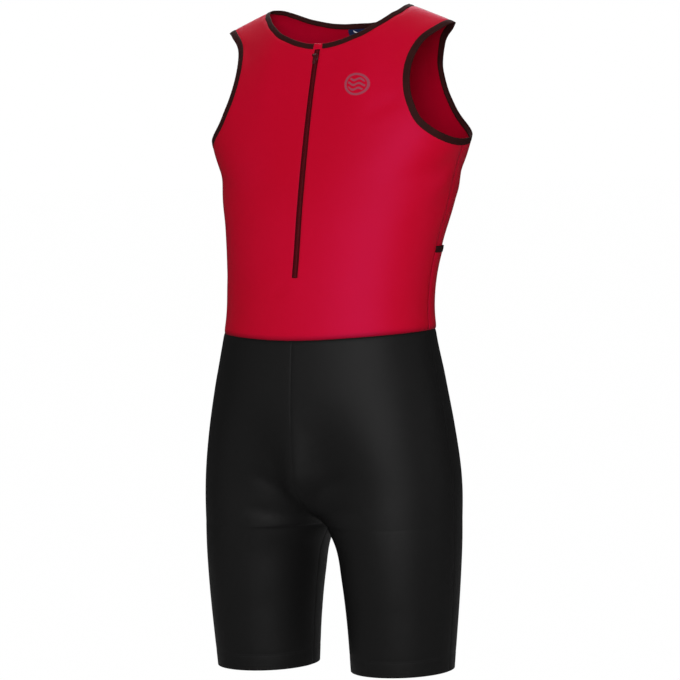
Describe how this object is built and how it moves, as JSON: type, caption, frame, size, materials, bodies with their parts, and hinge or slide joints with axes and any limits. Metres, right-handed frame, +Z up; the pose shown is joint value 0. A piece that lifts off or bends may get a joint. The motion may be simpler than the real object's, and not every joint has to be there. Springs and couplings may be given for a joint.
{
  "type": "triathlon suit",
  "caption": "Sleeveless one-piece triathlon suit with a front zip, a lower back pocket and close-fitting thigh-length shorts, filled out as it is worn.",
  "frame": {"origin": "the middle between the two shoulder seams, where the wearer's shoulders hold the suit", "axes": "+Z up, the front faces -Y, the wearer's left is +X"},
  "size_m": [0.3824, 0.2829, 0.9016],
  "materials": {
    "red_jersey": "smooth knitted jersey with a faint sheen",
    "black_jersey": "smooth knitted jersey with a faint sheen",
    "dark_binding": "folded stretch binding, matt",
    "zip_tape": "woven tape, matt",
    "slider_plastic": "satin",
    "navy_label": "woven label, matt"
  },
  "bodies": {
    "suit": {"front_panel": "red_jersey", "back_panel": "red_jersey", "back_pocket": "red_jersey", "pocket_binding": "dark_binding", "neck_binding": "dark_binding", "armhole_binding_left": "dark_binding", "armhole_binding_right": "dark_binding", "shorts_front_left": "black_jersey", "shorts_front_right": "black_jersey", "shorts_back_left": "black_jersey", "shorts_back_right": "black_jersey", "zip_guard": "red_jersey", "zip_tape_left": "zip_tape", "zip_tape_right": "zip_tape", "zip_slider": "slider_plastic", "neck_label": "navy_label"},
    "pull_tab": {"zip_pull": "slider_plastic"}
  },
  "joints": [
    {"name": "pull_tab_hinge", "type": "hinge", "parent": "suit", "child": "pull_tab", "pos_m": [0, -0.07819, -0.05596], "axis": [-1, 0, 0], "range_deg": [0, 110]}
  ]
}
